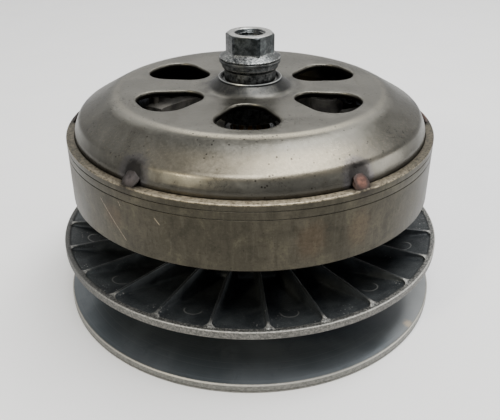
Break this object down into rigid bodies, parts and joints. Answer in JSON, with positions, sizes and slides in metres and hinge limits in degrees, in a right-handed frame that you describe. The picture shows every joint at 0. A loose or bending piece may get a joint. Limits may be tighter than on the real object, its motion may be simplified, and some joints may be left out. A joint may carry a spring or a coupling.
{
  "type": "cvt driven pulley with clutch and bell",
  "caption": "Driven pulley of a scooter belt drive: a fixed and a sliding ribbed sheave, torque cam, spring, centrifugal clutch and vented bell with a flange nut.",
  "frame": {"origin": "on the shaft axis, level with the foot of the lower sheave rim", "axes": "+Z along the shaft, from the gearbox side up to the nut; the front seen in the picture is -Y"},
  "size_m": [0.1718, 0.1718, 0.1177],
  "materials": {
    "sheave_steel": "smooth turned steel, dark satin blue-grey, light worn rim",
    "cast_sheave": "die-cast, blackened by belt dust and grease, light worn edges",
    "drum_steel": "turned steel, olive-brown heat tint, vertical smears",
    "plate_steel": "pressed steel, satin warm grey with pits and smudges",
    "weld_steel": "weld bead, rust red and dark grey",
    "hub_steel": "ground steel, oiled",
    "nut_steel": "blackened steel, bright worn corners",
    "bearing_steel": "ground and polished",
    "cage_brass": "stamped brass",
    "rivet_steel": "headed steel pin",
    "spring_steel": "oil-tempered spring steel",
    "collar_steel": "thin zinc-plated sleeve",
    "carrier_steel": "pressed steel, dusty",
    "spring_paint": "painted spring wire",
    "seat_plastic": "dark glass-filled nylon",
    "seal_rubber": "black rubber",
    "shoe_casting": "die-cast, dusty",
    "lining": "moulded friction lining"
  },
  "bodies": {
    "driven_pulley": {"fixed_sheave": "sheave_steel", "sheave_rivets": "rivet_steel", "driven_hub": "hub_steel", "ball_bearing_outer_ring": "bearing_steel", "ball_bearing_seals": "seal_rubber", "bearing_circlip": "spring_steel", "needle_bearing_cup": "bearing_steel", "guide_pins": "bearing_steel", "clutch_carrier": "carrier_steel", "carrier_nut": "nut_steel", "shoe_pivot_pins": "rivet_steel", "pin_clips": "spring_steel", "damper_posts": "rivet_steel", "damper_rubbers": "seal_rubber", "main_spring": "spring_paint", "shoe_spring_1": "spring_steel", "shoe_spring_2": "spring_steel", "shoe_spring_3": "spring_steel"},
    "spring_seat": {"spring_seat": "seat_plastic"},
    "movable_face": {"movable_sheave": "cast_sheave", "cam_tube": "hub_steel", "seal_collar": "collar_steel", "o_rings": "seal_rubber", "lip_seals": "seal_rubber"},
    "roller_1": {"guide_roller_1": "bearing_steel"},
    "roller_2": {"guide_roller_2": "bearing_steel"},
    "roller_3": {"guide_roller_3": "bearing_steel"},
    "shoe_1": {"clutch_shoe_1": "shoe_casting", "shoe_lining_1": "lining"},
    "shoe_2": {"clutch_shoe_2": "shoe_casting", "shoe_lining_2": "lining"},
    "shoe_3": {"clutch_shoe_3": "shoe_casting", "shoe_lining_3": "lining"},
    "clutch_bell": {"bell_drum_ring": "drum_steel", "bell_dome_plate": "plate_steel", "bell_welds": "weld_steel", "bell_hub": "hub_steel", "nut_washer": "nut_steel", "clutch_nut": "nut_steel"},
    "bearing_inner_race": {"ball_bearing_inner_ring": "bearing_steel"},
    "ball_set": {"ball_bearing_balls": "bearing_steel", "ball_bearing_cage": "cage_brass"},
    "needle_set": {"needle_bearing_rollers": "bearing_steel", "needle_bearing_cage": "cage_brass"}
  },
  "joints": [
    {"name": "bell_spin", "type": "hinge", "parent": "driven_pulley", "child": "clutch_bell", "pos_m": [0, 0, 0.0795], "axis": [0, 0, 1], "continuous": true},
    {"name": "shaft_bearing_spin", "type": "hinge", "parent": "driven_pulley", "child": "bearing_inner_race", "pos_m": [0, 0, 0.008], "axis": [0, 0, 1], "continuous": true},
    {"name": "ball_set_spin", "type": "hinge", "parent": "driven_pulley", "child": "ball_set", "pos_m": [0, 0, 0.008], "axis": [0, 0, 1], "continuous": true},
    {"name": "needle_set_spin", "type": "hinge", "parent": "driven_pulley", "child": "needle_set", "pos_m": [0, 0, 0.068], "axis": [0, 0, 1], "continuous": true},
    {"name": "face_slide", "type": "slide", "parent": "driven_pulley", "child": "spring_seat", "axis": [0, 0, 1], "range_m": [0, 0.015], "stiffness_N_per_m": 4000, "springref_m": -0.02, "deforming": ["main_spring"]},
    {"name": "face_twist", "type": "hinge", "parent": "spring_seat", "child": "movable_face", "pos_m": [0, 0, 0.0399], "axis": [0, 0, 1], "range_deg": [0, 40]},
    {"name": "roller_1_roll", "type": "hinge", "parent": "driven_pulley", "child": "roller_1", "pos_m": [0, -0.0215, 0.0399], "axis": [0, -1, 0], "range_deg": [0, 443]},
    {"name": "roller_2_roll", "type": "hinge", "parent": "driven_pulley", "child": "roller_2", "pos_m": [0.01862, 0.01075, 0.0399], "axis": [0.866, 0.5, 0], "range_deg": [0, 443]},
    {"name": "roller_3_roll", "type": "hinge", "parent": "driven_pulley", "child": "roller_3", "pos_m": [-0.01862, 0.01075, 0.0399], "axis": [-0.866, 0.5, 0], "range_deg": [0, 443]},
    {"name": "shoe_1_swing", "type": "hinge", "parent": "driven_pulley", "child": "shoe_1", "pos_m": [0.02052, -0.05638, 0.0645], "axis": [0, 0, -1], "range_deg": [0, 1.3], "stiffness_Nm_per_rad": 6, "springref_deg": -5.73, "deforming": ["shoe_spring_1"]},
    {"name": "shoe_2_swing", "type": "hinge", "parent": "driven_pulley", "child": "shoe_2", "pos_m": [0.03857, 0.04596, 0.0645], "axis": [0, 0, -1], "range_deg": [0, 1.3], "stiffness_Nm_per_rad": 6, "springref_deg": -5.73, "deforming": ["shoe_spring_2"]},
    {"name": "shoe_3_swing", "type": "hinge", "parent": "driven_pulley", "child": "shoe_3", "pos_m": [-0.05909, 0.01042, 0.0645], "axis": [0, 0, -1], "range_deg": [0, 1.3], "stiffness_Nm_per_rad": 6, "springref_deg": -5.73, "deforming": ["shoe_spring_3"]}
  ],
  "couplings": [
    {"joint": "shaft_bearing_spin", "follows": "bell_spin", "ratio": 1},
    {"joint": "ball_set_spin", "follows": "bell_spin", "ratio": 0.40846},
    {"joint": "needle_set_spin", "follows": "bell_spin", "ratio": 0.44842},
    {"joint": "face_twist", "follows": "face_slide", "rad_per_m": 46.542},
    {"joint": "roller_1_roll", "follows": "face_slide", "rad_per_m": 514.43},
    {"joint": "roller_2_roll", "follows": "face_slide", "rad_per_m": 514.43},
    {"joint": "roller_3_roll", "follows": "face_slide", "rad_per_m": 514.43}
  ]
}
